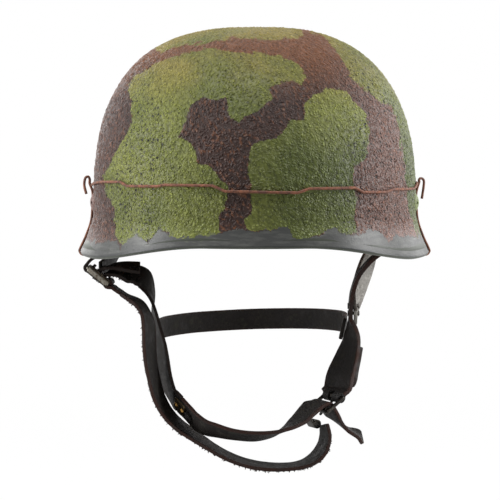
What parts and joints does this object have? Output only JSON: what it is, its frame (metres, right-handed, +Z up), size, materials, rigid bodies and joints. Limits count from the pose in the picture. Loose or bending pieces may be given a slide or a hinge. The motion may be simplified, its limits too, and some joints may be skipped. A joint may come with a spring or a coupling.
{
  "type": "paratrooper helmet",
  "caption": "Steel paratrooper helmet with a rolled rim, banded leather liner, forked leather chin harness with a roller buckle, and camouflage wire hooked over the rim.",
  "frame": {"origin": "centre of the opening on the rim's lowest line, where the wearer's head goes in", "axes": "+Z up through the crown, -Y towards the brow, +X towards the wearer's left"},
  "size_m": [0.244, 0.2779, 0.2992],
  "materials": {
    "shell_paint": "rough sanded two-colour camouflage paint, worn to bare steel at the rim",
    "bolt_steel": "worn dark paint",
    "black_rubber": "matte",
    "band_aluminium": "dull",
    "liner_leather": "soft, aged",
    "rusty_wire": "rusted, with traces of paint",
    "strap_leather": "aged, cracked, satin",
    "dark_leather": "aged, matte",
    "grey_leather": "worn grey face, stitched",
    "slide_steel": "tarnished",
    "rivet_brass": "tarnished"
  },
  "bodies": {
    "helmet": {"shell": "shell_paint", "spanner_bolts": "bolt_steel", "bolt_bushes": "black_rubber", "liner_screws": "bolt_steel", "liner_band": "band_aluminium", "rubber_pads": "black_rubber", "leather_liner": "liner_leather", "belt_wire": "rusty_wire", "rim_hook_right": "rusty_wire", "rim_hook_left": "rusty_wire", "rim_hook_rear": "rusty_wire", "hanger_strap": "strap_leather", "rear_strap_right": "strap_leather", "adjuster_slide": "slide_steel", "cheek_strap_right": "strap_leather", "clasp_plate": "slide_steel", "clasp_rivets": "rivet_brass", "clasp_tongue": "dark_leather", "chin_strap": "strap_leather", "front_strap_left": "strap_leather", "rear_strap_left": "grey_leather", "junction_rivets": "rivet_brass", "stud_patch": "dark_leather", "snap_stud": "bolt_steel", "buckle_fold": "strap_leather", "hook_plate": "slide_steel", "lower_strap_end": "strap_leather", "nape_strap": "dark_leather"},
    "lower_strap": {"lower_strap": "strap_leather"},
    "closing_flap": {"closing_flap": "dark_leather"},
    "buckle_frame": {"buckle_frame": "slide_steel"},
    "buckle_prong": {"buckle_prong": "slide_steel"},
    "buckle_roller": {"buckle_roller": "slide_steel"},
    "strap_tip": {"strap_tip": "strap_leather"}
  },
  "joints": [
    {"name": "lower_strap_swing", "type": "hinge", "parent": "helmet", "child": "lower_strap", "pos_m": [-0.093, -0.0208, -0.0248], "axis": [0.8289, -0.1368, -0.5424], "range_deg": [-4, 4]},
    {"name": "closing_flap_lift", "type": "hinge", "parent": "helmet", "child": "closing_flap", "pos_m": [0.06785, -0.0149, -0.07074], "axis": [0.6894, -0.693, 0.2109], "range_deg": [0, 60]},
    {"name": "buckle_swing", "type": "hinge", "parent": "helmet", "child": "buckle_frame", "pos_m": [0.05402, -0.03339, -0.09579], "axis": [0.5551, -0.8313, -0.0268], "range_deg": [0, 12]},
    {"name": "prong_lift", "type": "hinge", "parent": "buckle_frame", "child": "buckle_prong", "pos_m": [0.05402, -0.03339, -0.09579], "axis": [0.5551, -0.8313, -0.0268], "range_deg": [0, 10]},
    {"name": "roller_spin", "type": "hinge", "parent": "buckle_frame", "child": "buckle_roller", "pos_m": [0.04419, -0.03971, -0.10351], "axis": [0.5551, -0.8313, -0.0268], "continuous": true},
    {"name": "strap_tip_flex", "type": "hinge", "parent": "helmet", "child": "strap_tip", "pos_m": [0.05312, -0.03357, -0.10902], "axis": [0.5551, -0.8313, -0.0268], "range_deg": [-15, 12], "stiffness_Nm_per_rad": 0.002}
  ]
}
